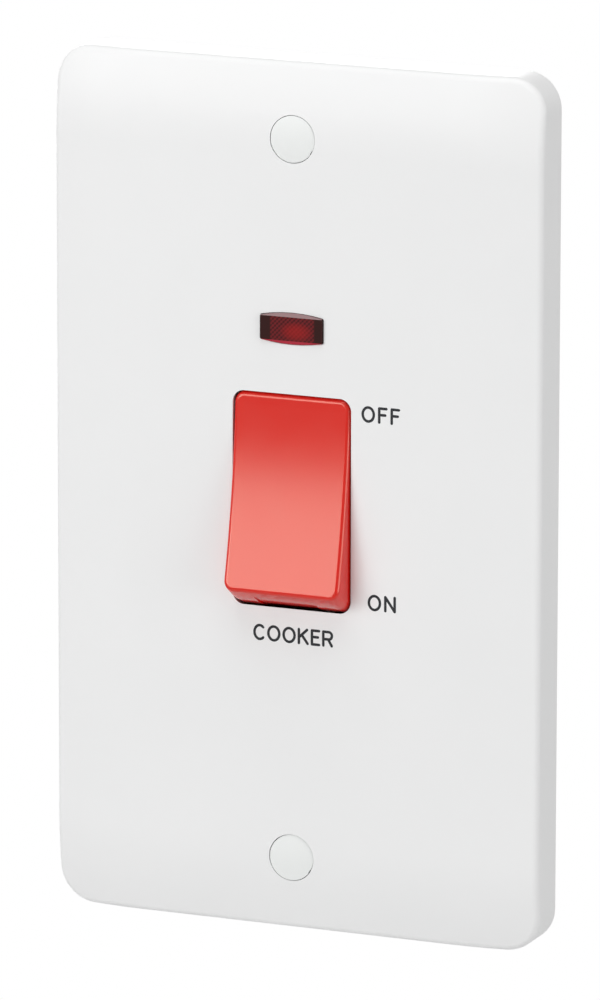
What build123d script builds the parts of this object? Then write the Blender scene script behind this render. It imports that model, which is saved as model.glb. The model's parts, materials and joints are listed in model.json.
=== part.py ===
from build123d import *
import math
import os

# Cooker switch on a tall double plate, in millimetres.
# X runs to the right, Z up and Y into the wall. The wall is the plane Y = 0 and the face looks
# towards -Y. The origin is the middle of the plate's back. The switch stands at OFF.

# Faceplate, its ends a margin beyond the two fixing screws
plate_width = 86.0
fixing_pitch = 120.6
plate_end_margin = 12.45
plate_height = fixing_pitch + 2 * plate_end_margin
plate_depth = 9.8
plate_corner = 6.0
plate_side_wall = 2.2
face_thickness = 3.0
crown_inset = 14.0
crown_radius = 55.0
crown_flat_corner = 1.0
plate_edge_round = 1.2
cavity_round = 1.0

# Wall fixing: two screws under snap-in caps
fixing_pillar_radius = 5.6
fixing_hole_radius = 2.0
fixing_thread_radius = 1.75
fixing_neck_radius = 1.55
fixing_length = 25.0
fixing_head_radius = 3.3
fixing_head_height = 2.0
fixing_head_pocket = 3.6
fixing_head_round = 0.7
fixing_slot_width = 0.9
fixing_slot_depth = 0.9
thread_tip_chamfer = 0.4
cap_radius = 3.88
cap_gap = 0.1
cap_pocket_depth = 3.2
cap_face = 1.2
cap_skirt = 0.5
cap_proud = 0.1
cap_dome = 0.3
cap_notch_width = 0.7
cap_notch_depth = 0.12
cap_notch_angle = 32.0

# Rocker, its aperture and its pivot
aperture_half_width = 10.5
aperture_half_height = 18.0
aperture_corner = 2.0
pivot_depth = 7.0
rocker_side_gap = 0.25
rocker_end_gap = 0.45
rocker_corner = 1.8
rocker_crest = 1.75
rocker_dish_radius = 160.0
rocker_throw = 18.0
rocker_wall = 1.9
rocker_edge_round = 0.75
rocker_skirt_front = 1.6
rocker_lobe_radius = 4.0
grip_width = 10.5
grip_depth = 0.18
grip_front = 7.7
trunnion_radius = 2.0
trunnion_length = 3.0
bearing_clearance = 0.05
lug_gap = 0.5
lug_thickness = 2.8
lug_half_height = 4.0
lug_behind_pivot = 3.6
lug_slot_half_width = 1.7

# Plungers and their springs, carried in two tubes of the rocker
pole_offset = 5.2
tube_radius = 3.4
tube_length = 7.8
tube_bore_front = 5.5
plunger_radius = 1.95
plunger_clearance = 0.05
plunger_reach = 11.0
plunger_length = 10.0
spring_wire_radius = 0.25
spring_mean_radius = 1.5
spring_turns = 6
spring_end_gap = 0.1

# Moving contact bars, rocking on the load straps
bar_throw = 15.0
bar_width = 5.0
bar_thickness = 2.0
bar_tail = 8.5
bar_reach = 12.0
bar_end = 14.5
bar_corner = 1.0
bar_clearance = 0.1
ridge_radius = 0.95
ridge_length = 4.4
web_thickness = 1.2
tip_radius = 2.0
tip_height = 1.2
tip_dome = 0.5
fixed_tip_radius = 2.2
fixed_tip_height = 1.2
contact_clearance = 0.05

# Terminals
terminal_inner = 10.0
terminal_width = 12.0
terminal_outer = terminal_inner + terminal_width
terminal_front = 7.5
terminal_low = 11.5
terminal_length = 11.0
terminal_high = terminal_low + terminal_length
terminal_edge = 0.5
strap_thickness = 1.5
strap_overlap = 2.0
strap_tail = 1.5
cable_bore_radius = 3.2
cable_bore_from_back = 6.2
terminal_screw_z = terminal_low + terminal_length / 2
terminal_screw_radius = 2.5
terminal_screw_head_radius = 4.0
terminal_screw_head_height = 3.2
terminal_slot_width = 1.2
terminal_slot_depth = 1.4
thread_clearance = 0.05
screw_tip_gap = 0.3

# Rear housing, which closes round the terminals
housing_side_gap = 1.7
housing_end_gap = 0.2
housing_wall = 1.8
housing_width = 2 * (terminal_outer + housing_side_gap + housing_wall)
housing_height = 2 * (terminal_high + housing_end_gap + housing_wall)
housing_corner = 2.0
housing_rim_gap = 0.3
housing_floor_front = 19.0
housing_floor_thickness = 2.0
barrier_thickness = 1.6
barrier_front = 7.0
pad_width = 4.0
keeper_gap = 0.3
keeper_half_height = 1.4
cable_entry_clearance = 0.5
screw_access_clearance = 0.4
ear_side_inset = 4.5
ear_rise = 3.5
ear_x = housing_width / 2 - ear_side_inset
ear_z = housing_height / 2 + ear_rise
ear_half_width = 4.0
ear_reach = 3.2
ear_front = -2.0
ear_thickness = 2.5
ear_hole_clearance = 0.25
housing_screw_radius = 1.45
housing_screw_head_radius = 2.8
housing_screw_head_height = 1.8
housing_screw_length = 6.5
housing_post_radius = 3.2
housing_screw_hole_extra = 0.2

# Neon indicator, its tray just above the rear housing
holder_below = 3.9
holder_housing_gap = 0.55
lens_z = housing_height / 2 + holder_housing_gap + holder_below
lens_half_width = 5.5
lens_half_height = 2.0
lens_gap = 0.1
lens_corner = 0.3
lens_side_bow = 0.6
lens_proud = 0.4
lens_flange_width = 14.0
lens_flange_height = 6.8
lens_flange_thickness = 1.0
lens_pocket_half_width = 4.6
lens_pocket_half_height = 1.3
lens_pocket_front = 1.5
holder_half_width = 8.5
holder_wall = 1.2
holder_above = 8.6
holder_back = 1.4
holder_ear_half_height = 2.5
holder_ear_reach = 6.0
holder_ear_front = -5.0
holder_ear_thickness = 1.2
holder_peg_x = 11.8
holder_post_radius = 2.2
holder_peg_radius = 1.0
holder_peg_clearance = 0.1
holder_peg_proud = 0.6
lamp_radius = 2.3
lamp_body_left = -3.7
lamp_body_right = 2.6
lamp_neck = 1.2
lamp_neck_radius = 1.2
lamp_pinch = 0.8
lamp_pinch_half_width = 0.95
lamp_pinch_half_height = 0.6
lamp_back_gap = 0.3
resistor_rise = 5.2
resistor_radius = 1.2
resistor_left = -3.4
resistor_right = 3.0
bare_wire_radius = 0.25
bare_wire_bend = 0.6
bare_wire_half_pitch = 0.6
bare_wire_x = 5.6
lead_radius = 0.7
lead_hole_radius = 0.9
lead_start = 6.6
lead_housing_gap = 4.0
lead_drop_x = housing_width / 2 + lead_housing_gap
lead_bend_z = -6.0
lead_end_y = 11.0
lead_corner = 4.0
lead_last_corner = 3.5

# Earth terminals
earth_offset = 7.0
earth_half_width = 4.5
earth_housing_gap = 2.8
earth_top = -(ear_z + ear_reach + earth_housing_gap)
earth_length = 10.0
earth_depth = 9.0
earth_bore_radius = 2.6
earth_bore_y = 3.6
earth_cheek_gap = 0.2
earth_cheek_wall = 1.3
earth_cheek_height = 5.0
earth_tower_wall = 1.8
earth_screw_radius = 2.0
earth_screw_head_radius = 3.2
earth_screw_head_height = 2.4

# Screw heads at the back
small_slot_width = 1.0
small_slot_depth = 1.0
head_chamfer = 0.3

# Small allowances: overlap of joined shapes, and run-out of cutting shapes
joint_overlap = 0.5
cut_extra = 1.0

# Planes and places that several pieces share
face_y = -plate_depth
floor_y = face_y + face_thickness
fixing_z = fixing_pitch / 2
cap_ledge_y = face_y + cap_pocket_depth
fixing_seat_y = cap_ledge_y + fixing_head_height
pivot_y = face_y + pivot_depth
aperture_end_radius = math.hypot(aperture_half_height, pivot_depth)
rocker_end_radius = aperture_end_radius - rocker_end_gap
rocker_half_width = aperture_half_width - rocker_side_gap
rocker_off_angle = -rocker_throw / 2
bar_off_angle = bar_throw / 2
lug_inner = rocker_half_width + lug_gap
hinge_y = pivot_y + plunger_reach + bar_clearance + bar_thickness
dome_radius = (tip_radius ** 2 + tip_dome ** 2) / (2 * tip_dome)
closed_angle = math.radians(bar_throw / 2)
dome_centre_y = (tip_height - dome_radius) * math.cos(closed_angle) + bar_reach * math.sin(closed_angle)
dome_centre_z = bar_reach * math.cos(closed_angle) - (tip_height - dome_radius) * math.sin(closed_angle)
contact_y = hinge_y + dome_centre_y + dome_radius + contact_clearance
contact_z = dome_centre_z
strap_front = contact_y + fixed_tip_height
strap_back = strap_front + strap_thickness
terminal_back = housing_floor_front
terminal_x = (terminal_inner + terminal_outer) / 2
cable_y = terminal_back - cable_bore_from_back
housing_back = housing_floor_front + housing_floor_thickness
housing_rim_y = floor_y + housing_rim_gap
flange_back = floor_y + lens_flange_thickness
holder_inner_back = holder_back - holder_wall
lamp_y = holder_inner_back - lamp_back_gap - lamp_radius
resistor_z = lens_z + resistor_rise
lamp_tail = lamp_body_right + lamp_neck + lamp_pinch
earth_z = earth_top - earth_length / 2

poles = {"line": -1, "neutral": 1}


def slab(outline, front, back):
    """An outline in the plate's own plane, X across and Z up, filled from front to back."""
    return extrude(Plane.XZ.offset(-back) * outline, amount=back - front)


def block(x0, x1, y0, y1, z0, z1):
    """A box between two corners, given in either order."""
    size = (abs(x1 - x0), abs(y1 - y0), abs(z1 - z0))
    return Pos((x0 + x1) / 2, (y0 + y1) / 2, (z0 + z1) / 2) * Box(*size)


def rod_x(radius, x0, x1, y, z):
    """A round bar along X."""
    return Pos((x0 + x1) / 2, y, z) * Rot(0, 90, 0) * Cylinder(radius, abs(x1 - x0))


def rod_y(radius, y0, y1, x, z):
    """A round bar along Y."""
    return Pos(x, (y0 + y1) / 2, z) * Rot(90, 0, 0) * Cylinder(radius, abs(y1 - y0))


def rod_z(radius, z0, z1, x, y):
    """A round bar along Z."""
    return Pos(x, y, (z0 + z1) / 2) * Cylinder(radius, abs(z1 - z0))


def drum(end_radius, half_width, corner):
    """The space swept about the pivot by a rounded rectangle: the rocker's ends and its aperture."""
    profile = Pos(0, end_radius / 2) * Rectangle(2 * half_width, end_radius)
    profile = fillet(profile.vertices().group_by(Axis.Y)[-1], corner)
    return revolve(profile, axis=Axis.X)


def front_rim(solid, radius):
    """Round the outline of a solid's foremost face."""
    face = solid.faces().sort_by(Axis.Y)[0]
    return fillet(face.outer_wire().edges(), radius)


def slotted_head(radius, seat, height, x, z, slot_width, slot_depth):
    """A round screw head that stands to the rear of its seat, with a driver slot."""
    back = seat + height
    head = rod_y(radius, seat, back, x, z)
    head = chamfer(head.faces().sort_by(Axis.Y)[-1].edges(), head_chamfer)
    return head - block(x - radius - cut_extra, x + radius + cut_extra, back - slot_depth, back + cut_extra,
                        z - slot_width / 2, z + slot_width / 2)


def crowned_outline():
    """The plate as a full block: straight sides and a face that falls softly to all four edges."""
    flat_width = plate_width - 2 * crown_inset
    flat_height = plate_height - 2 * crown_inset
    crown = slab(RectangleRounded(flat_width + 2 * crown_radius, flat_height + 2 * crown_radius,
                                  crown_radius + crown_flat_corner), face_y, crown_radius)
    crown = front_rim(crown, crown_radius)
    outer = slab(RectangleRounded(plate_width, plate_height, plate_corner), face_y, 0) & crown
    sides = [face for face in outer.faces() if face.bounding_box().max.Y > -plate_edge_round]
    rim = [edge for face in sides for edge in face.edges()
           if edge.bounding_box().max.Y < -plate_edge_round]
    return fillet(rim, plate_edge_round)


def fixing_pillar(z):
    return slab(Pos(0, z) * Circle(fixing_pillar_radius), floor_y - joint_overlap, 0)


def fixing_bore(z):
    """Cap pocket, head pocket and through hole on one line."""
    pocket = rod_y(cap_radius + cap_gap, face_y - cut_extra, cap_ledge_y, 0, z)
    head = rod_y(fixing_head_pocket, cap_ledge_y - joint_overlap, fixing_seat_y, 0, z)
    hole = rod_y(fixing_hole_radius, fixing_seat_y - joint_overlap, cut_extra, 0, z)
    return pocket + head + hole


def bearing_lug(side):
    """A lug behind the face that carries one trunnion and opens to the rear for assembly."""
    inner = side * lug_inner
    outer = side * (lug_inner + lug_thickness)
    back = pivot_y + lug_behind_pivot
    lug = block(inner, outer, floor_y - joint_overlap, back, -lug_half_height, lug_half_height)
    bore = rod_x(trunnion_radius + bearing_clearance, inner - side * cut_extra,
                 outer + side * cut_extra, pivot_y, 0)
    slot = block(inner - side * cut_extra, outer + side * cut_extra, pivot_y, back + cut_extra,
                 -lug_slot_half_width, lug_slot_half_width)
    return lug - bore - slot


def housing_post(x, z):
    post = rod_y(housing_post_radius, floor_y - joint_overlap, ear_front, x, z)
    end = ear_front + ear_thickness - housing_screw_length - housing_screw_hole_extra
    hole = rod_y(housing_screw_radius + thread_clearance, end, ear_front + cut_extra, x, z)
    return post, hole


def holder_post(side):
    """A post with a peg that holds one ear of the neon holder."""
    x = side * holder_peg_x
    peg_back = holder_ear_front + holder_ear_thickness + holder_peg_proud
    post = rod_y(holder_post_radius, floor_y - joint_overlap, holder_ear_front, x, lens_z)
    peg = rod_y(holder_peg_radius, holder_ear_front - joint_overlap, peg_back, x, lens_z)
    return post + peg


def earth_tower(side):
    """A hollow tower with two cheeks that holds one earth terminal at the wall plane."""
    x = side * earth_offset
    half = earth_half_width + earth_cheek_gap + earth_cheek_wall
    inner = earth_half_width - earth_tower_wall
    bottom = earth_top - earth_length
    tower = block(x - half, x + half, floor_y - joint_overlap, 0, bottom, earth_top)
    tower -= block(x - inner, x + inner, floor_y, cut_extra,
                   bottom + earth_tower_wall, earth_top - earth_tower_wall)
    for edge in (-1, 1):
        near = x + edge * (earth_half_width + earth_cheek_gap)
        tower += block(near, near + edge * earth_cheek_wall, -joint_overlap, earth_cheek_height,
                       bottom, earth_top)
    return tower


def front_plate():
    plate = crowned_outline()
    cavity = slab(RectangleRounded(plate_width - 2 * plate_side_wall, plate_height - 2 * plate_side_wall,
                                   plate_corner - plate_side_wall), floor_y, cut_extra)
    plate -= front_rim(cavity, cavity_round)
    for z in (-fixing_z, fixing_z):
        plate += fixing_pillar(z)
        plate -= fixing_bore(z)
    plate -= Pos(0, pivot_y, 0) * drum(aperture_end_radius, aperture_half_width, aperture_corner)
    plate -= slab(lens_outline(lens_gap), face_y - cut_extra, floor_y + cut_extra)
    for side in (-1, 1):
        plate += bearing_lug(side)
        plate += holder_post(side)
        plate += earth_tower(side)
        for height in (-1, 1):
            post, hole = housing_post(side * ear_x, height * ear_z)
            plate += post
            plate -= hole
    return plate


def rocker_shape(inset):
    """The rocker's outer block, or with an inset the hollow inside it, about the pivot."""
    crest = pivot_depth + rocker_crest
    shape = drum(rocker_end_radius - inset, rocker_half_width - inset, rocker_corner)
    shape -= rod_x(rocker_dish_radius + inset, -plate_width, plate_width, -crest - rocker_dish_radius, 0)
    back = -rocker_skirt_front + (cut_extra if inset else 0)
    reach = 2 * rocker_end_radius
    return shape - block(-reach, reach, back, reach, -reach, reach)


def rocker_tube(side):
    """One tube behind the rocker, its bore blind towards the face."""
    x = side * pole_offset
    crest = pivot_depth + rocker_crest
    outer = rod_y(tube_radius, -crest + rocker_wall / 2, tube_length, x, 0)
    bore = rod_y(plunger_radius + plunger_clearance, -tube_bore_front, tube_length + cut_extra, x, 0)
    return outer, bore


def rocker():
    body = front_rim(rocker_shape(0), rocker_edge_round)
    body -= rocker_shape(rocker_wall)
    for side in (-1, 1):
        outer_x = side * rocker_half_width
        inner_x = side * (rocker_half_width - rocker_wall)
        body += rod_x(rocker_lobe_radius, inner_x, outer_x, 0, 0)
        body += block(inner_x, outer_x, -pivot_depth, 0, -rocker_lobe_radius, rocker_lobe_radius)
        body += rod_x(trunnion_radius, inner_x, outer_x + side * trunnion_length, 0, 0)
        tube, bore = rocker_tube(side)
        body += tube
        body -= bore
    for height in (-1, 1):
        near = height * (rocker_end_radius * math.cos(math.asin(grip_front / rocker_end_radius)))
        ring = rod_x(rocker_end_radius + cut_extra, -grip_width / 2, grip_width / 2, 0, 0)
        ring -= rod_x(rocker_end_radius - grip_depth, -grip_width, grip_width, 0, 0)
        ring &= block(-grip_width, grip_width, -grip_front, 0, height * grip_depth,
                      near + height * rocker_end_radius)
        body -= ring
    return Pos(0, pivot_y, 0) * Rot(rocker_off_angle, 0, 0) * body


def in_rocker(solid):
    """Carry a solid drawn about the upright rocker's pivot to its place at OFF."""
    return Pos(0, pivot_y, 0) * Rot(rocker_off_angle, 0, 0) * solid


def plunger(side):
    x = side * pole_offset
    tip_centre = plunger_reach - plunger_radius
    stem = rod_y(plunger_radius, plunger_reach - plunger_length, tip_centre, x, 0)
    return in_rocker(stem + Pos(x, tip_centre, 0) * Sphere(plunger_radius))


def spring(side):
    """A round-wire coil between the end of the bore and the plunger's tail."""
    front = -tube_bore_front + spring_end_gap + spring_wire_radius
    back = plunger_reach - plunger_length - spring_end_gap - spring_wire_radius
    height = back - front
    path = Helix(pitch=height / spring_turns, height=height, radius=spring_mean_radius)
    section = Plane(origin=path @ 0, z_dir=path % 0) * Circle(spring_wire_radius)
    coil = sweep(section, path=path)
    return in_rocker(Pos(side * pole_offset, front, 0) * Rot(-90, 0, 0) * coil)


def in_bar(solid, side):
    """Carry a solid drawn about a contact bar's hinge to its place at OFF."""
    return Pos(side * pole_offset, hinge_y, 0) * Rot(bar_off_angle, 0, 0) * solid


def contact_bar(side):
    bar = block(-bar_width / 2, bar_width / 2, -bar_thickness, 0, -bar_tail, bar_end)
    bar = fillet(bar.edges().filter_by(Axis.Y), bar_corner)
    bar -= rod_x(ridge_radius + bearing_clearance, -bar_width, bar_width, 0, 0)
    return in_bar(bar, side)


def moving_tip(side):
    """A domed contact button on the bar's rear face."""
    button = rod_y(tip_radius, 0, tip_height, 0, bar_reach)
    button &= Pos(0, tip_height - dome_radius, bar_reach) * Sphere(dome_radius)
    return in_bar(button, side)


def fixed_tip(side):
    return rod_y(fixed_tip_radius, contact_y, contact_y + fixed_tip_height, side * pole_offset, contact_z)


def terminal_block(side, low, high):
    """A brass block with a cable bore along Z and a screw hole from the rear."""
    body = block(side * terminal_inner, side * terminal_outer, terminal_front, terminal_back, low, high)
    return chamfer(body.edges().filter_by(Axis.Z), terminal_edge)


def terminal_holes(side, direction):
    low = direction * (terminal_low - cut_extra)
    high = direction * (terminal_high + cut_extra)
    cable = rod_z(cable_bore_radius, low, high, side * terminal_x, cable_y)
    screw = rod_y(terminal_screw_radius + thread_clearance, cable_y, terminal_back + cut_extra,
                  side * terminal_x, direction * terminal_screw_z)
    return cable + screw


def supply_terminal(side):
    """Upper terminal: its strap reaches in behind the fixed contact."""
    body = terminal_block(side, terminal_low, terminal_high)
    inner = side * (pole_offset - bar_width / 2)
    outer = side * (terminal_inner + strap_overlap)
    body += block(inner, outer, strap_front, strap_back,
                  contact_z - bar_width / 2, contact_z + bar_width / 2)
    return body - terminal_holes(side, 1)


def load_terminal(side):
    """Lower terminal: its strap runs up behind the moving bar and carries the ridge it rocks on."""
    body = terminal_block(side, -terminal_high, -terminal_low)
    inner = side * (pole_offset - bar_width / 2)
    outer = side * (pole_offset + bar_width / 2)
    foot = -terminal_low - bar_width
    body += block(inner, outer, strap_front, strap_back, foot, strap_tail)
    body += block(inner, side * (terminal_inner + strap_overlap), strap_front, strap_back,
                  foot, -terminal_low)
    near = side * (pole_offset - ridge_length / 2)
    far = side * (pole_offset + ridge_length / 2)
    body += block(near, far, hinge_y, strap_front + joint_overlap, -web_thickness / 2, web_thickness / 2)
    body += rod_x(ridge_radius, near, far, hinge_y, 0)
    return body - terminal_holes(side, -1)


def terminal_screw(side, direction):
    x = side * terminal_x
    z = direction * terminal_screw_z
    tip = cable_y + cable_bore_radius + screw_tip_gap
    shank = rod_y(terminal_screw_radius, tip, terminal_back + joint_overlap, x, z)
    return shank + slotted_head(terminal_screw_head_radius, terminal_back, terminal_screw_head_height, x, z,
                                terminal_slot_width, terminal_slot_depth)


def rear_housing():
    """A box behind the face, open to the front, that holds the terminals."""
    half_width = housing_width / 2
    half_height = housing_height / 2
    inner_width = half_width - housing_wall
    inner_height = half_height - housing_wall
    shell = slab(RectangleRounded(housing_width, housing_height, housing_corner),
                 housing_rim_y, housing_back)
    shell -= block(-inner_width, inner_width, housing_rim_y - cut_extra, housing_floor_front,
                   -inner_height, inner_height)
    seat = housing_floor_front + joint_overlap
    shell += block(-barrier_thickness / 2, barrier_thickness / 2, barrier_front, seat,
                   -inner_height - joint_overlap, inner_height + joint_overlap)
    for side in (-1, 1):
        x = side * pole_offset
        shell += block(x - pad_width / 2, x + pad_width / 2, strap_back, seat,
                       contact_z - pad_width / 2, contact_z + pad_width / 2)
        shell += block(x - pad_width / 2, x + pad_width / 2, strap_back, seat,
                       -web_thickness, web_thickness)
        shell += block(side * lug_inner, side * (lug_inner + lug_thickness),
                       pivot_y + lug_behind_pivot + keeper_gap, seat,
                       -keeper_half_height, keeper_half_height)
        wall_x = side * (inner_width + housing_wall / 2)
        shell -= rod_x(lead_hole_radius, wall_x - housing_wall, wall_x + housing_wall,
                       lead_end_y, -terminal_screw_z)
        for direction in (-1, 1):
            shell += block(side * (ear_x - ear_half_width), side * (ear_x + ear_half_width),
                           ear_front, ear_front + ear_thickness,
                           direction * inner_height, direction * (ear_z + ear_reach))
            shell -= rod_y(housing_screw_radius + ear_hole_clearance, ear_front - cut_extra,
                           ear_front + ear_thickness + cut_extra, side * ear_x, direction * ear_z)
            shell -= rod_z(cable_bore_radius + cable_entry_clearance,
                           direction * (inner_height - cut_extra), direction * (half_height + cut_extra),
                           side * terminal_x, cable_y)
            shell -= rod_y(terminal_screw_head_radius + screw_access_clearance,
                           housing_floor_front - cut_extra, housing_back + cut_extra,
                           side * terminal_x, direction * terminal_screw_z)
    return shell


def housing_screws():
    """Four pan-head screws through the housing's ears."""
    seat = ear_front + ear_thickness
    screws = []
    for x in (-ear_x, ear_x):
        for z in (-ear_z, ear_z):
            shank = rod_y(housing_screw_radius, seat - housing_screw_length, seat + joint_overlap, x, z)
            head = slotted_head(housing_screw_head_radius, seat, housing_screw_head_height, x, z,
                                small_slot_width, small_slot_depth)
            screws.append(shank + head)
    return Compound(children=screws)


def lens_outline(gap):
    """The lens seen from the front, grown by a gap: its long sides bow outwards."""
    x = lens_half_width + gap
    z = lens_half_height + gap
    top = ThreePointArc((-x, z), (0, z + lens_side_bow), (x, z))
    bottom = ThreePointArc((x, -z), (0, -z - lens_side_bow), (-x, -z))
    outline = make_face([top, Line((x, z), (x, -z)), bottom, Line((-x, -z), (-x, z))])
    return Pos(0, lens_z) * fillet(outline.vertices(), lens_corner)


def lens_slope(height):
    """What is cut off above or below the lens: its bowed side slopes in to a straight front edge."""
    front = face_y - lens_proud
    near = height * lens_half_height
    far = height * (lens_half_height + lens_side_bow)
    beyond = height * (lens_half_height + lens_side_bow + cut_extra)
    wedge = Polyline((front - lens_proud, near - (far - near)), (face_y, far), (face_y, beyond),
                     (front - lens_proud, beyond), close=True)
    wedge = extrude(Plane.YZ * make_face(wedge), amount=lens_half_width + cut_extra, both=True)
    return Pos(0, 0, lens_z) * wedge


def neon_lens():
    """A red window with a flange behind the face and a hollow for the lamp's light."""
    body = slab(lens_outline(0), face_y - lens_proud, flange_back)
    for height in (-1, 1):
        body -= lens_slope(height)
    body += slab(Pos(0, lens_z) * Rectangle(lens_flange_width, lens_flange_height), floor_y, flange_back)
    pocket = block(-lens_pocket_half_width, lens_pocket_half_width, face_y + lens_pocket_front,
                   flange_back + cut_extra, lens_z - lens_pocket_half_height,
                   lens_z + lens_pocket_half_height)
    return body - pocket


def neon_holder():
    """A white tray behind the lens that holds the lamp and its resistor."""
    low = lens_z - holder_below
    high = lens_z + holder_above
    tray = block(-holder_half_width, holder_half_width, flange_back, holder_back, low, high)
    tray -= block(-holder_half_width + holder_wall, holder_half_width - holder_wall,
                  flange_back - cut_extra, holder_inner_back, low + holder_wall, high - holder_wall)
    for side in (-1, 1):
        wall_x = side * (holder_half_width - holder_wall / 2)
        ear_end = side * (holder_half_width + holder_ear_reach)
        tray += block(side * (holder_half_width - joint_overlap), ear_end, holder_ear_front,
                      holder_ear_front + holder_ear_thickness,
                      lens_z - holder_ear_half_height, lens_z + holder_ear_half_height)
        tray -= rod_y(holder_peg_radius + holder_peg_clearance, holder_ear_front - cut_extra,
                      holder_ear_front + holder_ear_thickness + cut_extra, side * holder_peg_x, lens_z)
        tray -= rod_x(lead_hole_radius, wall_x - holder_wall, wall_x + holder_wall,
                      lamp_y + lead_depth(side), resistor_z)
    return tray


def lead_depth(side):
    """How far a bare wire and its insulated lead lie behind the lamp's axis."""
    return -side * bare_wire_half_pitch


def tube_along(points, bends, radius):
    """A round wire along straight runs joined by tangent arcs."""
    path = FilletPolyline(*points, radius=bends)
    section = Plane(origin=path @ 0, z_dir=path % 0) * Circle(radius)
    return sweep(section, path=path)


def neon_lamp():
    """A sealed glass bulb with its two bare wires."""
    neck_end = lamp_body_right + lamp_neck
    bulb = rod_x(lamp_radius, lamp_body_left, lamp_body_right, lamp_y, lens_z)
    bulb += Pos(lamp_body_left, lamp_y, lens_z) * Sphere(lamp_radius)
    bulb += Pos((lamp_body_right + neck_end) / 2, lamp_y, lens_z) * Rot(0, 90, 0) * Cone(
        lamp_radius, lamp_neck_radius, lamp_neck)
    bulb += block(neck_end - joint_overlap / 2, lamp_tail, lamp_y - lamp_pinch_half_width,
                  lamp_y + lamp_pinch_half_width, lens_z - lamp_pinch_half_height,
                  lens_z + lamp_pinch_half_height)
    ends = {1: lead_start, -1: resistor_right + lead_radius + bare_wire_bend}
    for side, end in ends.items():
        y = lamp_y + lead_depth(side)
        points = [(lamp_tail - bare_wire_radius, y, lens_z), (bare_wire_x, y, lens_z),
                  (bare_wire_x, y, resistor_z), (end, y, resistor_z)]
        bulb += tube_along(points, bare_wire_bend, bare_wire_radius)
    return bulb


def neon_resistor():
    y = lamp_y + lead_depth(-1)
    body = rod_x(resistor_radius, resistor_left, resistor_right, y, resistor_z)
    right = resistor_right + lead_radius + bare_wire_bend
    return body + rod_x(bare_wire_radius, -lead_start, right, y, resistor_z)


def neon_lead(side):
    """An insulated lead from the holder, down beside the housing and in to the load terminal."""
    y = lamp_y + lead_depth(side)
    points = [(side * lead_start, y, resistor_z),
              (side * lead_drop_x, y, resistor_z),
              (side * lead_drop_x, y, lead_bend_z),
              (side * lead_drop_x, lead_end_y, -terminal_screw_z),
              (side * terminal_outer, lead_end_y, -terminal_screw_z)]
    return tube_along(points, [lead_corner, lead_corner, lead_last_corner], lead_radius)


def earth_terminal(side):
    x = side * earth_offset
    bottom = earth_top - earth_length
    body = block(x - earth_half_width, x + earth_half_width, 0, earth_depth, bottom, earth_top)
    body = chamfer(body.edges().filter_by(Axis.Z), terminal_edge)
    body -= rod_z(earth_bore_radius, bottom - cut_extra, earth_top + cut_extra, x, earth_bore_y)
    return body - rod_y(earth_screw_radius + thread_clearance, earth_bore_y, earth_depth + cut_extra,
                        x, earth_z)


def earth_screw(side):
    x = side * earth_offset
    tip = earth_bore_y + earth_bore_radius + screw_tip_gap
    shank = rod_y(earth_screw_radius, tip, earth_depth + joint_overlap, x, earth_z)
    return shank + slotted_head(earth_screw_head_radius, earth_depth, earth_screw_head_height, x, earth_z,
                                small_slot_width, small_slot_depth)


def screw_cap(z):
    """A domed cap with a skirt that stands on the ledge over the screw head."""
    front = face_y - cap_proud
    sphere_radius = (cap_radius ** 2 + cap_dome ** 2) / (2 * cap_dome)
    cap = rod_y(cap_radius, front - cut_extra, cap_ledge_y, 0, z)
    cap &= Pos(0, front + sphere_radius, z) * Sphere(sphere_radius)
    cap -= rod_y(cap_radius - cap_skirt, face_y + cap_face, cap_ledge_y + cut_extra, 0, z)
    notch = block(cap_radius - cap_notch_depth, cap_radius + cut_extra, front - cut_extra,
                  face_y + cap_face / 2, -cap_notch_width / 2, cap_notch_width / 2)
    return cap - Pos(0, 0, z) * Rot(0, cap_notch_angle, 0) * notch


def fixing_screw(z):
    """A pan-head screw: plain neck through the pillar, thread behind the wall plane."""
    head = front_rim(rod_y(fixing_head_radius, cap_ledge_y, fixing_seat_y, 0, z), fixing_head_round)
    head -= block(-fixing_head_radius - cut_extra, fixing_head_radius + cut_extra,
                  cap_ledge_y - cut_extra, cap_ledge_y + fixing_slot_depth,
                  z - fixing_slot_width / 2, z + fixing_slot_width / 2)
    neck = rod_y(fixing_neck_radius, fixing_seat_y - joint_overlap, joint_overlap, 0, z)
    end = fixing_seat_y + fixing_length
    thread = rod_y(fixing_thread_radius, 0, end, 0, z)
    thread = chamfer(thread.faces().sort_by(Axis.Y)[-1].edges(), thread_tip_chamfer)
    return head + neck + thread


nodes = {
    "front_plate": front_plate(),
    "rocker": rocker(),
    "rear_housing": rear_housing(),
    "housing_screws": housing_screws(),
    "neon_lens": neon_lens(),
    "neon_holder": neon_holder(),
    "neon_lamp": neon_lamp(),
    "neon_resistor": neon_resistor(),
    "screw_cap_top": screw_cap(fixing_z),
    "screw_cap_bottom": screw_cap(-fixing_z),
    "fixing_screw_top": fixing_screw(fixing_z),
    "fixing_screw_bottom": fixing_screw(-fixing_z),
}
for pole, side in poles.items():
    nodes["plunger_" + pole] = plunger(side)
    nodes["spring_" + pole] = spring(side)
    nodes["contact_bar_" + pole] = contact_bar(side)
    nodes["moving_tip_" + pole] = moving_tip(side)
    nodes["fixed_tip_" + pole] = fixed_tip(side)
    nodes["supply_terminal_" + pole] = supply_terminal(side)
    nodes["load_terminal_" + pole] = load_terminal(side)
    nodes["supply_screw_" + pole] = terminal_screw(side, 1)
    nodes["load_screw_" + pole] = terminal_screw(side, -1)
    nodes["neon_lead_" + pole] = neon_lead(side)
for place, side in {"left": -1, "right": 1}.items():
    nodes["earth_terminal_" + place] = earth_terminal(side)
    nodes["earth_screw_" + place] = earth_screw(side)

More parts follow.
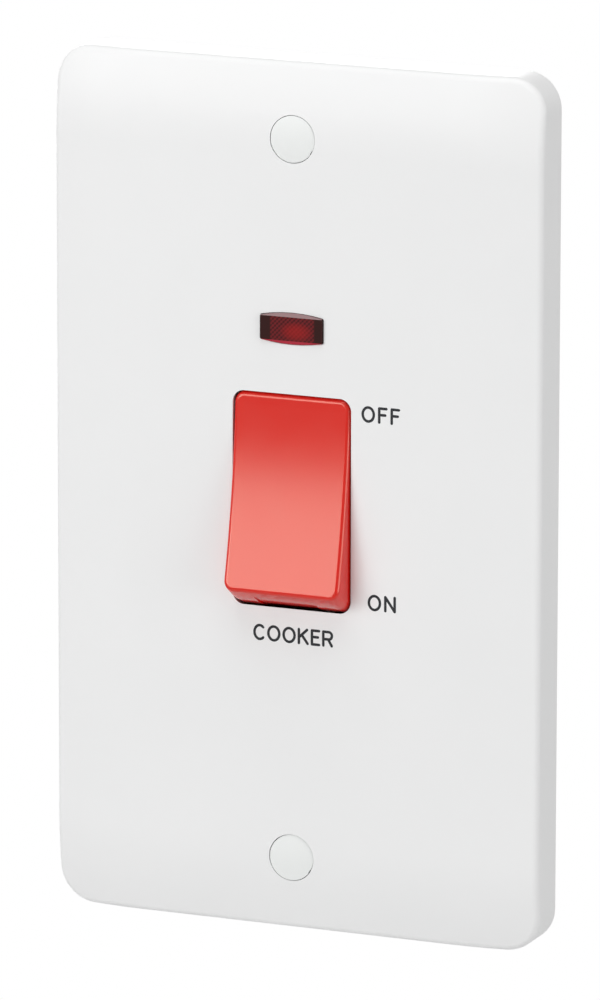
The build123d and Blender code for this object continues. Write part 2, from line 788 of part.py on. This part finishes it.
os.makedirs("parts", exist_ok=True)
for name, solid in nodes.items():
    export_step(solid, "parts/" + name + ".step")
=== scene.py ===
import json
import math

import bmesh
import bpy
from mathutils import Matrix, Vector


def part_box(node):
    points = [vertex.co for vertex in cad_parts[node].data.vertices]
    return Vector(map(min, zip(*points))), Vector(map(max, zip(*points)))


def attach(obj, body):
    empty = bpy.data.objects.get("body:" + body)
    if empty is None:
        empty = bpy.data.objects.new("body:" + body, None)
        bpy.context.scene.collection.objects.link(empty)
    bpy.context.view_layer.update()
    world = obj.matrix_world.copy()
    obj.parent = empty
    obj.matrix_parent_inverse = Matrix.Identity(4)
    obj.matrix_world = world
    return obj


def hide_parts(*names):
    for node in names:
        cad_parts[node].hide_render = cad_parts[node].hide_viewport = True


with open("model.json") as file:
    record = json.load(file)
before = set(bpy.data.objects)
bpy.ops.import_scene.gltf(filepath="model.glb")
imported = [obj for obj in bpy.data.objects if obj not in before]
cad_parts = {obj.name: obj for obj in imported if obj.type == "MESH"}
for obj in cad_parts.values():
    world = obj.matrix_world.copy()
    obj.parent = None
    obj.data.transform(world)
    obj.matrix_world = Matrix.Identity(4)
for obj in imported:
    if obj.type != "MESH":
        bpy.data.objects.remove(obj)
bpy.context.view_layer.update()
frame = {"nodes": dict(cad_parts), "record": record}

MM = 0.001
scene = bpy.context.scene


def place_object(name, data):
    """A new object in the scene around a mesh, a lamp or the camera."""
    obj = bpy.data.objects.new(name, data)
    scene.collection.objects.link(obj)
    return obj


# Camera
CAMERA_AZIMUTH = math.radians(22.75)
CAMERA_ELEVATION = math.radians(13.10)
CAMERA_ROLL = math.radians(0.10)
CAMERA_DISTANCE = 1.524
CAMERA_TARGET = Vector((-0.00262, 0.0, -0.00200))
CAMERA_LENS = 333.2
SENSOR_HEIGHT = 36.0
NEAREST = 0.05
FARTHEST = 50.0


def make_camera():
    """A long lens at the photograph's viewing angle, aimed near the middle of the plate."""
    around = CAMERA_AZIMUTH
    outward = math.cos(CAMERA_ELEVATION)
    back = Vector((math.sin(around) * outward, -math.cos(around) * outward, math.sin(CAMERA_ELEVATION)))
    data = bpy.data.cameras.new("camera")
    data.sensor_fit = "VERTICAL"
    data.sensor_height = SENSOR_HEIGHT
    data.lens = CAMERA_LENS
    data.clip_start = NEAREST
    data.clip_end = FARTHEST
    camera = place_object("camera", data)
    camera.location = CAMERA_TARGET + back * CAMERA_DISTANCE
    camera.rotation_euler = back.to_track_quat("Z", "Y").to_euler()
    camera.rotation_euler.rotate_axis("Z", CAMERA_ROLL)
    scene.camera = camera


make_camera()

# Materials
# Noise seldom leaves the middle of its range, so only that part of it is spread out.
NOISE_MIDDLE = (0.3, 0.7)
NOISE_BROAD = (0.2, 0.8)
NOISE_BROADEST = (0.1, 0.9)
EDGE_SAMPLES = 4


class Nodes:
    """Short calls to build one material's node tree."""

    def __init__(self, name):
        self.material = bpy.data.materials.new(name)
        self.material.use_nodes = True
        self.tree = self.material.node_tree
        self.shader = self.tree.nodes["Principled BSDF"]
        self.coords = self.add("ShaderNodeTexCoord").outputs["Object"]

    def add(self, kind, **settings):
        """A new node with its settings."""
        node = self.tree.nodes.new(kind)
        for key, value in settings.items():
            setattr(node, key, value)
        return node

    def link(self, output, socket):
        """Links one node's output to a socket of another."""
        self.tree.links.new(output, socket)

    def feed(self, name, output):
        """Links an output to one of the shader's own sockets."""
        self.link(output, self.shader.inputs[name])

    def set(self, **values):
        """Sets the shader's own sockets. An underscore stands for a space in a socket's name."""
        for key, value in values.items():
            socket = self.shader.inputs[key.replace("_", " ")]
            socket.default_value = (*value, 1.0) if isinstance(value, tuple) else value

    def noise(self, scale, detail=2.0, rough=0.5, stretch=None):
        """Noise over the object, finer along an axis whose stretch is larger."""
        place = self.coords
        if stretch:
            mapping = self.add("ShaderNodeMapping")
            mapping.inputs["Scale"].default_value = stretch
            self.link(self.coords, mapping.inputs["Vector"])
            place = mapping.outputs["Vector"]
        node = self.add("ShaderNodeTexNoise")
        node.inputs["Scale"].default_value = scale
        node.inputs["Detail"].default_value = detail
        node.inputs["Roughness"].default_value = rough
        self.link(place, node.inputs["Vector"])
        return node.outputs["Fac"]

    def span(self, value, low, high, over=NOISE_MIDDLE):
        """Runs from low to high while the value crosses a range, and stays level outside it."""
        node = self.add("ShaderNodeMapRange")
        node.inputs["From Min"].default_value = over[0]
        node.inputs["From Max"].default_value = over[1]
        node.inputs["To Min"].default_value = low
        node.inputs["To Max"].default_value = high
        self.link(value, node.inputs["Value"])
        return node.outputs["Result"]

    def math(self, kind, *values, clamp=False):
        """One sum on numbers and outputs of other nodes."""
        node = self.add("ShaderNodeMath", operation=kind, use_clamp=clamp)
        for socket, value in zip(node.inputs, values):
            if isinstance(value, (int, float)):
                socket.default_value = value
            else:
                self.link(value, socket)
        return node.outputs["Value"]

    def blend(self, share, first, second):
        """A colour between two others, each a plain colour or another node's output."""
        node = self.add("ShaderNodeMix", data_type="RGBA")
        self.link(share, node.inputs["Factor"])
        for key, colour in (("A", first), ("B", second)):
            if isinstance(colour, tuple):
                node.inputs[key].default_value = (*colour, 1.0)
            else:
                self.link(colour, node.inputs[key])
        return node.outputs["Result"]

    def bump(self, height, depth, strength=1.0, normal=None):
        """Fine relief, on top of another normal where one is given."""
        node = self.add("ShaderNodeBump")
        node.inputs["Strength"].default_value = strength
        node.inputs["Distance"].default_value = depth
        self.link(height, node.inputs["Height"])
        if normal is not None:
            self.link(normal, node.inputs["Normal"])
        return node.outputs["Normal"]

    def soft_edges(self, radius):
        """Normals that round off sharp edges."""
        node = self.add("ShaderNodeBevel", samples=EDGE_SAMPLES)
        node.inputs["Radius"].default_value = radius
        return node.outputs["Normal"]


PLASTIC_IOR = 1.5
CLOUD_SCALE = 60.0
GLOSS_SCALE = 200.0
GLOSS_SPREAD = 0.02


def moulded(name, dark, light, rough, grain, depth, edge=0.0, shine=0.5, tint=None):
    """Moulded plastic: faint cloudy colour, uneven gloss and a fine skin."""
    nodes = Nodes(name)
    clouds = nodes.span(nodes.noise(CLOUD_SCALE, detail=1.0), 0.0, 1.0, NOISE_BROAD)
    gloss = nodes.noise(GLOSS_SCALE, detail=1.0)
    edges = nodes.soft_edges(edge) if edge else None
    nodes.feed("Base Color", nodes.blend(clouds, dark, light))
    nodes.feed("Roughness", nodes.span(gloss, rough - GLOSS_SPREAD, rough + GLOSS_SPREAD, NOISE_BROADEST))
    nodes.feed("Normal", nodes.bump(nodes.noise(grain), depth, normal=edges))
    nodes.set(IOR=PLASTIC_IOR, Specular_IOR_Level=shine)
    if tint:
        nodes.set(Specular_Tint=tint)
    return nodes.material


PATCH_SCALE = 120.0
MARK_SCALE = 900.0
MARK_DETAIL = 3.0
MARK_ROUGH = 0.6
MARK_SMOOTHEST = -0.08
MARK_ROUGHEST = 0.10


def metal(name, dark, light, rough, stretch, depth, edge):
    """Plated or machined metal with fine drawn marks."""
    nodes = Nodes(name)
    marks = nodes.noise(MARK_SCALE, MARK_DETAIL, MARK_ROUGH, stretch)
    patches = nodes.span(nodes.noise(PATCH_SCALE), 0.0, 1.0)
    nodes.feed("Base Color", nodes.blend(patches, dark, light))
    nodes.feed("Roughness", nodes.span(marks, rough + MARK_SMOOTHEST, rough + MARK_ROUGHEST))
    nodes.feed("Normal", nodes.bump(marks, depth, normal=nodes.soft_edges(edge)))
    nodes.set(Metallic=1.0)
    return nodes.material


GLASS_SCALE = 300.0
GLASS_GLOSS_SCALE = 400.0
GLASS_DARK = (0.74, 0.72, 0.70)
GLASS_LIGHT = (0.86, 0.83, 0.80)
GLASS_ROUGHNESS = (0.03, 0.08)


def glass_material():
    """The lamp's clear glass, slightly smoked."""
    nodes = Nodes("bulb_glass")
    smoke = nodes.span(nodes.noise(GLASS_SCALE), 0.0, 1.0)
    nodes.feed("Base Color", nodes.blend(smoke, GLASS_DARK, GLASS_LIGHT))
    nodes.feed("Roughness", nodes.span(nodes.noise(GLASS_GLOSS_SCALE), *GLASS_ROUGHNESS))
    nodes.set(IOR=1.5, Transmission_Weight=0.85)
    return nodes.material


# Neon lens, with places measured from its middle
HATCH_PITCH = 0.75 * MM
HATCH_DEPTH = 0.02 * MM
HATCH_STRENGTH = 0.35
HATCH_LINES = ((-1.0, 0.70), (1.0, 0.35))
HATCH_CENTRE_X = 0.2 * MM
HATCH_END = (3.7 * MM, 4.0 * MM)
# Painted glow: a lighter red oval painted into the lens colour, standing in for light inside the lens.
PAINTED_GLOW_CENTRE = (0.9 * MM, -0.4 * MM)
PAINTED_GLOW_REACH = (3.0 * MM, 1.7 * MM)
PAINTED_GLOW_SHARE = 0.50
LOWER_SIDE = (-2.04 * MM, -1.96 * MM)
# Painted reflection: the band of height where the upper side is painted pale grey-pink, as if it reflected
# the light from above.
UPPER_PAINTED_REFLECTION_SIDE = (1.93 * MM, 2.02 * MM)
LENS_EDGE = 0.12 * MM
LENS_GLOSS_SCALE = 500.0
LENS_ROUGHNESS = (0.10, 0.16)
LENS_DARK = (0.040, 0.003, 0.004)
LENS_LINE = (0.165, 0.009, 0.012)
# Painted glow colour.
LENS_PAINTED_GLOW = (0.42, 0.010, 0.008)
LENS_END = (0.028, 0.004, 0.003)
LENS_LOWER = (0.46, 0.008, 0.030)
# Painted reflection colour for the upper side.
LENS_PAINTED_REFLECTION = (0.30, 0.19, 0.195)


def lens_hatch(nodes, x, z):
    """Two crossing sets of slanting lines, one of them fainter. Each has a slope and a weight."""
    sets = []
    for slope, weight in HATCH_LINES:
        along = nodes.math("MULTIPLY_ADD", z, slope, x)
        wave = nodes.math("SINE", nodes.math("MULTIPLY", along, 2 * math.pi / HATCH_PITCH))
        sets.append(nodes.math("MULTIPLY_ADD", wave, weight / 2, weight / 2))
    return nodes.math("ADD", *sets, clamp=True)


def painted_lens_glow(nodes, x, z):
    """An oval spot that is strongest at its middle: a painted glow that lightens the lens colour."""
    squares = []
    for place, centre, reach in zip((x, z), PAINTED_GLOW_CENTRE, PAINTED_GLOW_REACH):
        away = nodes.math("MULTIPLY", nodes.math("SUBTRACT", place, centre), 1 / reach)
        squares.append(nodes.math("MULTIPLY", away, away))
    return nodes.math("SUBTRACT", 1.0, nodes.math("ADD", *squares), clamp=True)


def lens_material():
    """Dark red lens: plain dark ends, a fine crossed hatch between them, a painted glow in the middle and
    paler sloping sides, of which the upper one is a painted reflection of the light from above.
    """
    nodes = Nodes("lens_red")
    low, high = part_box("neon_lens")
    split = nodes.add("ShaderNodeSeparateXYZ")
    nodes.link(nodes.coords, split.inputs["Vector"])
    x = split.outputs["X"]
    z = nodes.math("SUBTRACT", split.outputs["Z"], (low.z + high.z) / 2)
    hatch = lens_hatch(nodes, x, z)
    # Painted glow, not light from a lamp.
    painted_glow = nodes.math("MULTIPLY", painted_lens_glow(nodes, x, z), PAINTED_GLOW_SHARE)
    from_centre = nodes.math("ABSOLUTE", nodes.math("SUBTRACT", x, HATCH_CENTRE_X))
    colour = nodes.blend(hatch, LENS_DARK, LENS_LINE)
    colour = nodes.blend(painted_glow, colour, LENS_PAINTED_GLOW)
    colour = nodes.blend(nodes.span(from_centre, 1.0, 0.0, HATCH_END), LENS_END, colour)
    colour = nodes.blend(nodes.span(z, 1.0, 0.0, LOWER_SIDE), colour, LENS_LOWER)
    # Painted reflection: the upper side is painted pale grey-pink for the light from above.
    colour = nodes.blend(nodes.span(z, 0.0, 1.0, UPPER_PAINTED_REFLECTION_SIDE), colour, LENS_PAINTED_REFLECTION)
    nodes.feed("Base Color", colour)
    nodes.feed("Roughness", nodes.span(nodes.noise(LENS_GLOSS_SCALE), *LENS_ROUGHNESS))
    nodes.feed("Normal", nodes.bump(hatch, HATCH_DEPTH, HATCH_STRENGTH, nodes.soft_edges(LENS_EDGE)))
    nodes.set(IOR=1.49, Specular_IOR_Level=0.35)
    return nodes.material


# The look of each slot
WHITE = moulded("white_plastic", dark=(0.840, 0.842, 0.842), light=(0.852, 0.853, 0.853),
                rough=0.30, grain=2200.0, depth=0.0006 * MM, shine=0.15)
CAP_WHITE = moulded("cap_plastic", dark=(0.825, 0.84, 0.83), light=(0.845, 0.86, 0.85),
                    rough=0.34, grain=2200.0, depth=0.0006 * MM, edge=0.15 * MM, shine=0.2)
RED = moulded("red_plastic", dark=(0.655, 0.005, 0.0020), light=(0.680, 0.007, 0.0025),
              rough=0.185, grain=1500.0, depth=0.0050 * MM, shine=0.675, tint=(1.0, 0.98, 0.82))
PALE = moulded("pale_plastic", dark=(0.70, 0.69, 0.65), light=(0.76, 0.75, 0.71),
               rough=0.45, grain=1500.0, depth=0.004 * MM, edge=0.15 * MM)
PLUNGER = moulded("plunger_plastic", dark=(0.62, 0.60, 0.55), light=(0.68, 0.66, 0.61),
                  rough=0.40, grain=1500.0, depth=0.003 * MM, edge=0.15 * MM)
RESISTOR = moulded("resistor_lacquer", dark=(0.50, 0.36, 0.22), light=(0.60, 0.45, 0.28),
                   rough=0.35, grain=2000.0, depth=0.004 * MM, edge=0.10 * MM)
SLEEVE = moulded("lead_sleeve", dark=(0.018, 0.018, 0.020), light=(0.035, 0.035, 0.038),
                 rough=0.42, grain=2400.0, depth=0.003 * MM, edge=0.05 * MM)
INK = moulded("print_ink", dark=(0.014, 0.015, 0.018), light=(0.020, 0.021, 0.025),
              rough=0.50, grain=3000.0, depth=0.001 * MM, shine=0.3)
ZINC = metal("zinc_plate", dark=(0.60, 0.60, 0.61), light=(0.72, 0.72, 0.71),
             rough=0.26, stretch=(1.0, 6.0, 1.0), depth=0.003 * MM, edge=0.08 * MM)
BRASS = metal("terminal_brass", dark=(0.66, 0.48, 0.20), light=(0.76, 0.58, 0.28),
              rough=0.30, stretch=(1.0, 1.0, 5.0), depth=0.004 * MM, edge=0.15 * MM)
COPPER = metal("copper_bar", dark=(0.66, 0.36, 0.22), light=(0.78, 0.46, 0.30),
               rough=0.30, stretch=(5.0, 1.0, 1.0), depth=0.003 * MM, edge=0.12 * MM)
SILVER = metal("contact_button", dark=(0.76, 0.76, 0.74), light=(0.86, 0.86, 0.84),
               rough=0.22, stretch=(1.0, 1.0, 1.0), depth=0.002 * MM, edge=0.10 * MM)

SLOT_LOOKS = {
    "white_moulding": WHITE,
    "red_moulding": RED,
    "pale_moulding": PALE,
    "red_lens": lens_material(),
    "lamp_glass": glass_material(),
    "resistor_body": RESISTOR,
    "plated_steel": ZINC,
    "copper_strip": COPPER,
    "contact_silver": SILVER,
    "brass_terminal": BRASS,
    "lead_insulation": SLEEVE,
}
NAMED_LOOKS = {"plunger_": PLUNGER, "screw_cap_": CAP_WHITE}


def node_look(name, slot):
    """A node's material: that of its slot, unless its name has a look of its own."""
    for start, look in NAMED_LOOKS.items():
        if name.startswith(start):
            return look
    return SLOT_LOOKS[slot]


for part in frame["record"]["subparts"]:
    materials = frame["nodes"][part["node"]].data.materials
    materials.clear()
    materials.append(node_look(part["node"], part["material_slot"]))


# New pieces
def shape_object(name, shape):
    """A finished shape as an object in the scene."""
    mesh = bpy.data.meshes.new(name)
    shape.to_mesh(mesh)
    shape.free()
    return place_object(name, mesh)


def plate_piece(name, shape, look):
    """A finished shape as a piece that rides on the plate."""
    bmesh.ops.recalc_face_normals(shape, faces=shape.faces)
    piece = shape_object(name, shape)
    piece.data.materials.append(look)
    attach(piece, "plate")
    return piece


def skin(shape, rings, capped):
    """Faces from each ring of vertices to the next, and over both ends where it is capped."""
    for ring, following in zip(rings, rings[1:]):
        for i in range(len(ring)):
            j = (i + 1) % len(ring)
            shape.faces.new((ring[i], ring[j], following[j], following[i]))
    if capped:
        shape.faces.new(rings[0][::-1])
        shape.faces.new(rings[-1])


# Letters of the printed words, in millimetres from a letter's lower left
LETTER_HEIGHT = 2.78
LETTER_WIDTHS = {"O": 2.4, "C": 2.15, "F": 1.7, "E": 1.7, "N": 2.1, "K": 2.0, "R": 2.0}
STROKE = 0.45
STROKE_LOW = STROKE / 2
STROKE_TOP = LETTER_HEIGHT - STROKE / 2
STROKE_MIDDLE = 0.53 * LETTER_HEIGHT
OVAL_STEPS = 28
C_OVAL_WIDTH = 2.3
C_OPENING = 48
BAR_SHORTER = 0.2
K_ARM_SHORTER = 0.1
K_ARM_DROP = 0.3
K_LEG_X = 0.75
K_LEG_RISE = 0.15
R_BOWL_X = 1.2
R_BOWL_RADII = (0.55, 0.62)
R_BOWL_STEPS = 12
R_LEG_X = 1.1
R_LEG_SHORTER = 0.05


def arc(centre, radii, start, end, steps):
    """Points along an oval, from one angle to another in degrees."""
    turns = [math.radians(start + (end - start) * i / steps) for i in range(steps + 1)]
    return [(centre[0] + radii[0] * math.cos(turn), centre[1] + radii[1] * math.sin(turn)) for turn in turns]


def oval(width, opening=0):
    """Centre line of an oval as tall as the letters. The opening is half its gap on the right."""
    centre = (width / 2, LETTER_HEIGHT / 2)
    radii = ((width - STROKE) / 2, (LETTER_HEIGHT - STROKE) / 2)
    return arc(centre, radii, opening, 360 - opening, OVAL_STEPS)


def letter_strokes(letter):
    """The centre lines of a letter's strokes."""
    low, middle, top = STROKE_LOW, STROKE_MIDDLE, STROKE_TOP
    right = LETTER_WIDTHS[letter] - STROKE / 2
    stem = [(low, low), (low, top)]
    bar = [(low, middle), (right - BAR_SHORTER, middle)]
    k_arm = [(right - K_ARM_SHORTER, top), (low, middle - K_ARM_DROP)]
    k_leg = [(K_LEG_X, middle + K_LEG_RISE), (right, low)]
    bowl = arc((R_BOWL_X, top - R_BOWL_RADII[1]), R_BOWL_RADII, 90, -90, R_BOWL_STEPS)
    waist = top - 2 * R_BOWL_RADII[1]
    r_leg = [(R_LEG_X, waist), (right - R_LEG_SHORTER, low)]
    strokes = {
        "O": [oval(LETTER_WIDTHS["O"])],
        "C": [oval(C_OVAL_WIDTH, C_OPENING)],
        "F": [stem + [(right, top)], bar],
        "E": [[(right, top)] + stem[::-1] + [(right, low)], bar],
        "N": [stem + [(right, low), (right, top)]],
        "K": [stem, k_arm, k_leg],
        "R": [stem + bowl + [(low, waist)], r_leg],
    }
    return strokes[letter]


# Printed words, as strips that stand a hair proud of the plate's face
PRINT_PROUD = 0.012 * MM
PRINT_LAYER = 0.004 * MM
PRINT_SUNK = 0.02 * MM
SHARP_TURN = math.radians(40)
END_ANGLES = [math.radians(degrees) for degrees in (30, 60, 82)]
TOUCHING = 1e-6


def heading(start, end):
    """The direction from one point to another, as an angle."""
    return math.atan2(end[1] - start[1], end[0] - start[0])


def smooth_runs(line):
    """A stroke cut wherever it turns sharply, so that each run is one smooth strip."""
    runs = [[line[0]]]
    for before, point, after in zip(line, line[1:], line[2:]):
        runs[-1].append(point)
        turn = math.remainder(heading(point, after) - heading(before, point), 2 * math.pi)
        if abs(turn) > SHARP_TURN:
            runs.append([point])
    runs[-1].append(line[-1])
    return runs


def is_loop(run):
    """True where a run ends at the point where it starts."""
    return math.dist(run[0], run[-1]) < TOUCHING


def round_end(section, forward):
    """Sections that narrow to a round end beyond one section of a run."""
    (x, z), angle, half = section
    sections = []
    for turn in END_ANGLES:
        reach = half * math.sin(turn) * (1 if forward else -1)
        tip = (x + reach * math.cos(angle), z + reach * math.sin(angle))
        sections.append((tip, angle, half * math.cos(turn)))
    return sections


def strip_sections(run):
    """Centre, heading and half width along a run, with round ends unless it is a loop."""
    if is_loop(run):
        before = run[-2:-1] + run[:-1]
        after = run[1:] + run[1:2]
    else:
        before = run[:1] + run[:-1]
        after = run[1:] + run[-1:]
    sections = [(point, heading(a, b), STROKE / 2) for a, point, b in zip(before, run, after)]
    if is_loop(run):
        return sections
    return round_end(sections[0], False)[::-1] + sections + round_end(sections[-1], True)


def add_strip(shape, run, corner, front, back):
    """One run as a thin raised strip. The corner is the letter's lower left, in millimetres."""
    rings = []
    for (x, z), angle, half in strip_sections(run):
        ring = []
        for side, y in ((1, front), (-1, front), (-1, back), (1, back)):
            edge_x = corner[0] + x - side * half * math.sin(angle)
            edge_z = corner[1] + z + side * half * math.cos(angle)
            ring.append(shape.verts.new((edge_x * MM, y, edge_z * MM)))
        rings.append(ring)
    skin(shape, rings, capped=not is_loop(run))


def print_word(word, left, right, centre_z):
    """A printed word between two X positions in millimetres, with its letters evenly spaced.

    A letter's runs differ slightly in level, so that no two faces lie in the same place.
    """
    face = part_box("front_plate")[0].y
    widths = [LETTER_WIDTHS[letter] for letter in word]
    gap = (right - left - sum(widths)) / (len(word) - 1)
    shape = bmesh.new()
    corner_x = left
    for letter, width in zip(word, widths):
        runs = [run for stroke in letter_strokes(letter) for run in smooth_runs(stroke)]
        for level, run in enumerate(runs):
            front = face - PRINT_PROUD - level * PRINT_LAYER
            add_strip(shape, run, (corner_x, centre_z - LETTER_HEIGHT / 2), front, face + PRINT_SUNK)
        corner_x += width + gap
    plate_piece("print_" + word.lower(), shape, INK)


print_word("OFF", left=12.3, right=19.1, centre_z=15.85)
print_word("ON", left=13.5, right=18.5, centre_z=-15.6)
print_word("COOKER", left=-6.8, right=7.45, centre_z=-22.45)


# Threaded fixing screws
WALL_Y = 0.0
THREAD_PITCH = 0.6 * MM
THREAD_DEPTH = 0.32 * MM
THREAD_RADIUS = 1.75 * MM
NECK_RADIUS = 1.40 * MM
HEAD_HEIGHT = 2.0 * MM
HEAD_ROUND = 0.7 * MM
HEAD_ROUND_STEPS = 6
END_RADIUS = 0.001 * MM
SLOT_WIDTH = 0.9 * MM
SLOT_DEPTH = 0.9 * MM
AROUND = 32
STEPS_A_TURN = 8


def thread_ring(y, tip):
    """The thread's radius at each angle. It fades in at the wall and out at the tip."""
    taper = min(1.0, y / THREAD_PITCH, (tip - y) / THREAD_PITCH)
    radii = []
    for i in range(AROUND):
        phase = (y / THREAD_PITCH - i / AROUND) % 1.0
        ridge = 1 - abs(2 * phase - 1)
        radii.append(THREAD_RADIUS - THREAD_DEPTH * (1 - ridge * taper))
    return radii


def screw_profile(face, tip, head_radius):
    """Places along the screw and its radius at each angle. A tiny ring closes either end."""
    plain = [(face, END_RADIUS)]
    for i in range(HEAD_ROUND_STEPS + 1):
        turn = math.pi / 2 * (1 - i / HEAD_ROUND_STEPS)
        y = face + HEAD_ROUND * (1 - math.sin(turn))
        plain.append((y, head_radius - HEAD_ROUND * (1 - math.cos(turn))))
    seat = face + HEAD_HEIGHT
    plain += [(seat, head_radius), (seat, NECK_RADIUS), (WALL_Y, NECK_RADIUS)]
    steps = round(tip / THREAD_PITCH * STEPS_A_TURN)
    thread = [(tip * i / steps, thread_ring(tip * i / steps, tip)) for i in range(steps + 1)]
    return [(y, [radius] * AROUND) for y, radius in plain] + thread + [(tip, [END_RADIUS] * AROUND)]


def cut_slot(screw, face, head_radius):
    """Cuts the driver slot across a screw's head, with a block that is longer than the head is wide."""
    shape = bmesh.new()
    bmesh.ops.create_cube(shape, size=1.0)
    size = Vector((3 * head_radius, 2 * SLOT_DEPTH, SLOT_WIDTH))
    for vertex in shape.verts:
        vertex.co = face + vertex.co * size
    cutter = shape_object("slot", shape)
    carve = screw.modifiers.new("slot", "BOOLEAN")
    carve.operation = "DIFFERENCE"
    carve.object = cutter
    bpy.context.view_layer.update()
    carved = screw.evaluated_get(bpy.context.evaluated_depsgraph_get())
    screw.data = bpy.data.meshes.new_from_object(carved)
    screw.modifiers.clear()
    bpy.data.objects.remove(cutter)


def threaded_screw(node):
    """A slotted pan-head machine screw with a real thread, in place of the plain CAD one."""
    low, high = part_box(node)
    centre_x = (low.x + high.x) / 2
    centre_z = (low.z + high.z) / 2
    head_radius = (high.x - low.x) / 2
    shape = bmesh.new()
    rings = []
    for y, radii in screw_profile(low.y, high.y, head_radius):
        ring = []
        for i, radius in enumerate(radii):
            turn = 2 * math.pi * i / AROUND
            ring.append(shape.verts.new((centre_x + radius * math.cos(turn), y,
                                         centre_z + radius * math.sin(turn))))
        rings.append(ring)
    skin(shape, rings, capped=True)
    screw = plate_piece(node.replace("fixing_screw", "threaded_screw"), shape, ZINC)
    cut_slot(screw, Vector((centre_x, low.y, centre_z)), head_radius)
    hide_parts(node)


for end in ("top", "bottom"):
    threaded_screw("fixing_screw_" + end)


# Floor and background
FLOOR_Z = -0.55
FLOOR_HALF = 0.9
FLOOR_SCALE = 3.0
FLOOR_DARK = (0.86, 0.86, 0.86)
FLOOR_LIGHT = (0.88, 0.88, 0.88)
WORLD_LIGHT = 0.18
MIRRORED_LIGHT = 0.50
WHITE_LIGHT = 1.0
RAY_LIGHT = (
    ("Is Glossy Ray", MIRRORED_LIGHT),
    ("Is Transmission Ray", WHITE_LIGHT),
    ("Is Camera Ray", WHITE_LIGHT),
)


def make_floor():
    """A pale square floor, well below the switch."""
    mesh = bpy.data.meshes.new("floor")
    signs = ((-1, -1), (1, -1), (1, 1), (-1, 1))
    corners = [(x * FLOOR_HALF, y * FLOOR_HALF, FLOOR_Z) for x, y in signs]
    mesh.from_pydata(corners, [], [(0, 1, 2, 3)])
    nodes = Nodes("floor_pale")
    clouds = nodes.span(nodes.noise(FLOOR_SCALE), 0.0, 1.0)
    nodes.feed("Base Color", nodes.blend(clouds, FLOOR_DARK, FLOOR_LIGHT))
    nodes.set(Roughness=0.9)
    mesh.materials.append(nodes.material)
    place_object("floor", mesh)


def make_world():
    """White to the camera and through glass, grey in reflections and a dim plain light on the object."""
    world = bpy.data.worlds.new("studio")
    scene.world = world
    world.use_nodes = True
    tree = world.node_tree
    tree.nodes.clear()
    path = tree.nodes.new("ShaderNodeLightPath")
    strength = None
    for ray, level in RAY_LIGHT:
        mix = tree.nodes.new("ShaderNodeMix")
        mix.inputs["A"].default_value = WORLD_LIGHT
        mix.inputs["B"].default_value = level
        tree.links.new(path.outputs[ray], mix.inputs["Factor"])
        if strength is not None:
            tree.links.new(strength, mix.inputs["A"])
        strength = mix.outputs["Result"]
    light = tree.nodes.new("ShaderNodeBackground")
    light.inputs["Color"].default_value = (1.0, 1.0, 1.0, 1.0)
    tree.links.new(strength, light.inputs["Strength"])
    out = tree.nodes.new("ShaderNodeOutputWorld")
    tree.links.new(light.outputs["Background"], out.inputs["Surface"])


make_floor()
make_world()


# Lamps
PLATE_CENTRE = (0.0, 0.0, 0.0)


def square_lamp(name, place, aim, side, power):
    """A soft square lamp, in metres and watts, that faces its aim."""
    data = bpy.data.lights.new(name, "AREA")
    data.shape = "SQUARE"
    data.size = side
    data.energy = power
    lamp = place_object(name, data)
    lamp.location = place
    lamp.rotation_euler = (Vector(place) - Vector(aim)).to_track_quat("Z", "Y").to_euler()


square_lamp("key", place=(-0.60, -1.40, 0.49), aim=(0.0, 0.0, 0.49), side=0.90, power=10.65)
square_lamp("left", place=(-1.15, -1.15, 0.45), aim=(0.0, 0.0, 0.45), side=0.70, power=7.0)
square_lamp("top", place=(0.10, -0.35, 1.50), aim=PLATE_CENTRE, side=1.20, power=13.0)
square_lamp("right", place=(1.50, -0.24, 0.20), aim=PLATE_CENTRE, side=1.00, power=10.3)
square_lamp("back", place=(-0.55, 1.45, 0.10), aim=PLATE_CENTRE, side=0.90, power=7.0)

scene.view_settings.view_transform = "Standard"
